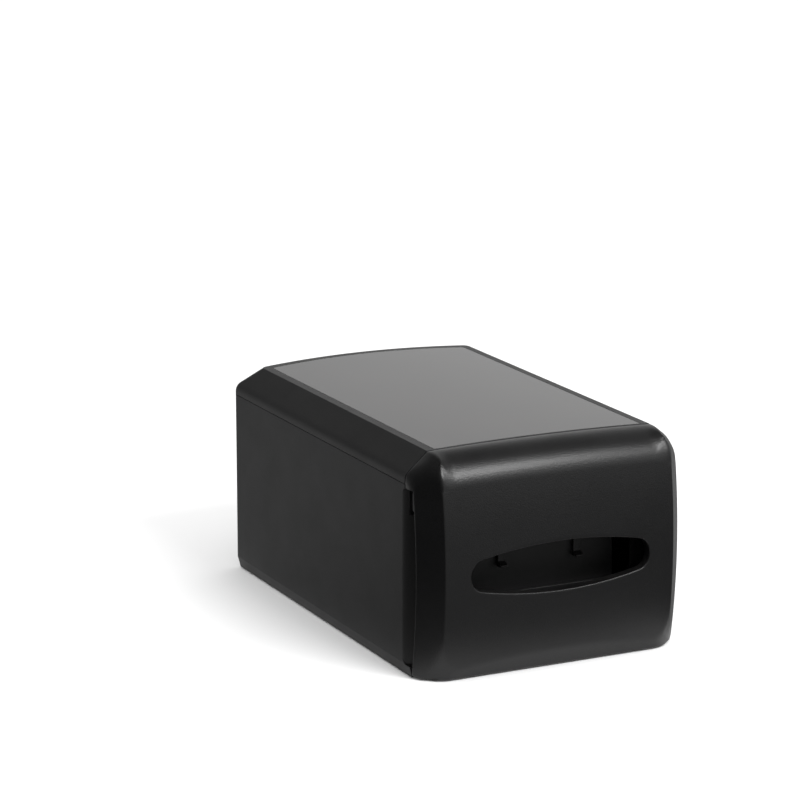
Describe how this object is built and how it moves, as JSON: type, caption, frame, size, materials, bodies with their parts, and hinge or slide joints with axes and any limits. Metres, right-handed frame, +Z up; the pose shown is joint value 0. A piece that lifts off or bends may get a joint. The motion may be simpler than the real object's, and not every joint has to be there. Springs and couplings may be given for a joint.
{
  "type": "napkin dispenser",
  "caption": "Low countertop box that feeds a stack of folded napkins on a sprung pusher to a slot in its bulged front, with a hinged lid and smoke window.",
  "frame": {"origin": "middle of the bounding box on the counter, under the feet", "axes": "+Z up, the slotted front faces -Y, +X is the viewer's right when facing the front"},
  "size_m": [0.2, 0.328, 0.154],
  "materials": {
    "shell_plastic": "fine-textured moulded, charcoal black",
    "bezel_plastic": "semi-gloss moulded with a fine grain, black",
    "cover_plastic": "fine-textured moulded, charcoal black",
    "window_smoke": "polished smoke-tinted acrylic",
    "inner_plastic": "plain moulded, black",
    "finger_plastic": "plain moulded, dark grey",
    "pusher_plastic": "plain moulded, black",
    "rail_plastic": "slippery moulded, dark grey",
    "drum_plastic": "natural moulded",
    "latch_plastic": "fine-textured moulded, dark grey",
    "spring_steel": "blued spring steel",
    "screw_steel": "zinc-plated",
    "pin_steel": "ground bright",
    "foot_rubber": "moulded matt black",
    "bumper_rubber": "moulded matt black"
  },
  "bodies": {
    "body": {"body_shell": "shell_plastic", "front_bezel": "bezel_plastic", "mouth_plate": "inner_plastic", "retaining_fingers": "finger_plastic", "bezel_screws": "screw_steel", "feed_rail": "rail_plastic", "rail_screws": "screw_steel", "rail_bumper": "bumper_rubber", "spring_strip": "spring_steel", "strip_anchor_screw": "screw_steel", "rubber_feet": "foot_rubber", "hinge_pins": "pin_steel", "latch_spring_left": "spring_steel", "latch_spring_right": "spring_steel"},
    "cover": {"top_cover": "cover_plastic", "window_panel": "window_smoke", "window_retainer": "inner_plastic", "retainer_screws": "screw_steel"},
    "pusher": {"pusher_carriage": "pusher_plastic", "pusher_plate": "pusher_plastic", "pusher_screws": "screw_steel", "drum_pin": "pin_steel", "drum_clip": "spring_steel"},
    "spool": {"spring_drum": "drum_plastic", "spring_coil": "spring_steel"},
    "latch_left": {"latch_plunger_left": "latch_plastic"},
    "latch_right": {"latch_plunger_right": "latch_plastic"}
  },
  "joints": [
    {"name": "cover_hinge", "type": "hinge", "parent": "body", "child": "cover", "pos_m": [0, 0.1604, 0.1316], "axis": [-1, 0, 0], "range_deg": [0, 100]},
    {"name": "pusher_slide", "type": "slide", "parent": "body", "child": "pusher", "axis": [0, 1, 0], "range_m": [0, 0.218], "stiffness_N_per_m": 8, "springref_m": -0.5, "deforming": ["spring_strip"]},
    {"name": "spool_spin", "type": "hinge", "parent": "pusher", "child": "spool", "pos_m": [0, -0.0954, 0.02065], "axis": [-1, 0, 0], "range_deg": [0, 900]},
    {"name": "latch_left_slide", "type": "slide", "parent": "body", "child": "latch_left", "axis": [-1, 0, 0], "range_m": [0, 0.003], "stiffness_N_per_m": 300, "springref_m": 0.004, "deforming": ["latch_spring_left"]},
    {"name": "latch_right_slide", "type": "slide", "parent": "body", "child": "latch_right", "axis": [1, 0, 0], "range_m": [0, 0.003], "stiffness_N_per_m": 300, "springref_m": 0.004, "deforming": ["latch_spring_right"]}
  ],
  "couplings": [
    {"joint": "spool_spin", "follows": "pusher_slide", "rad_per_m": 71.429}
  ]
}
